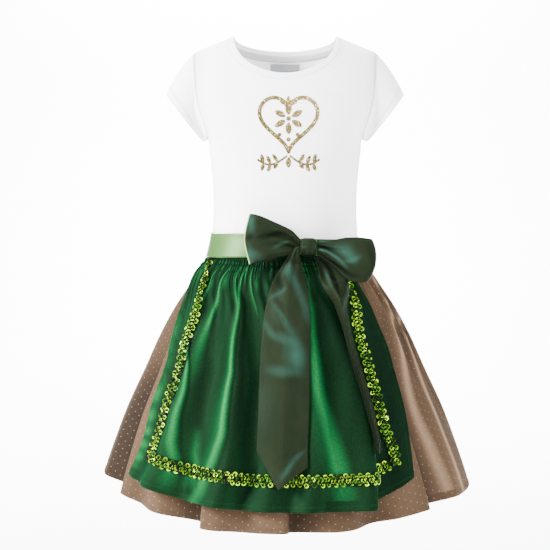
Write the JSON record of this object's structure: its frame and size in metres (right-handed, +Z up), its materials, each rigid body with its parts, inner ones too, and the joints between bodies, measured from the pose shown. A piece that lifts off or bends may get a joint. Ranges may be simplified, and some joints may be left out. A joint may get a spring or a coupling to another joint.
{
  "type": "dirndl dress",
  "caption": "Child's folk dress in its worn shape: white jersey bodice with cap sleeves, gathered dotted skirt, shirred velvet half apron with sequin trim, satin sash and big bow.",
  "frame": {"origin": "midway between the two neck points, on top of the shoulder seams, where the wearer's shoulders carry the dress", "axes": "+Z up, -Y the front of the dress, +X towards the wearer's left"},
  "size_m": [0.5538, 0.3843, 0.7086],
  "materials": {
    "jersey": "soft white cotton jersey, matt",
    "label": "plain woven patch, matt",
    "dotted_cotton": "taupe cotton with tiny cream dots, matt",
    "velvet": "deep green velvet with a bright nap",
    "sequins": "lime sequins on dark thread, glossy",
    "sash_satin": "light green satin, sheen along its weft",
    "bow_satin": "dark green satin ribbon, soft sheen"
  },
  "bodies": {
    "root": {"bodice_front": "jersey", "bodice_back": "jersey", "sleeve_left": "jersey", "sleeve_right": "jersey", "neck_binding": "jersey", "neck_label": "label", "skirt_front": "dotted_cotton", "skirt_back": "dotted_cotton", "apron": "velvet", "apron_trim_left": "sequins", "apron_trim_hem": "sequins", "apron_trim_right": "sequins", "sash": "sash_satin", "bow_knot": "bow_satin", "bow_loop_left": "bow_satin", "bow_loop_right": "bow_satin", "bow_tail_left": "bow_satin", "bow_tail_right": "bow_satin"}
  },
  "joints": []
}
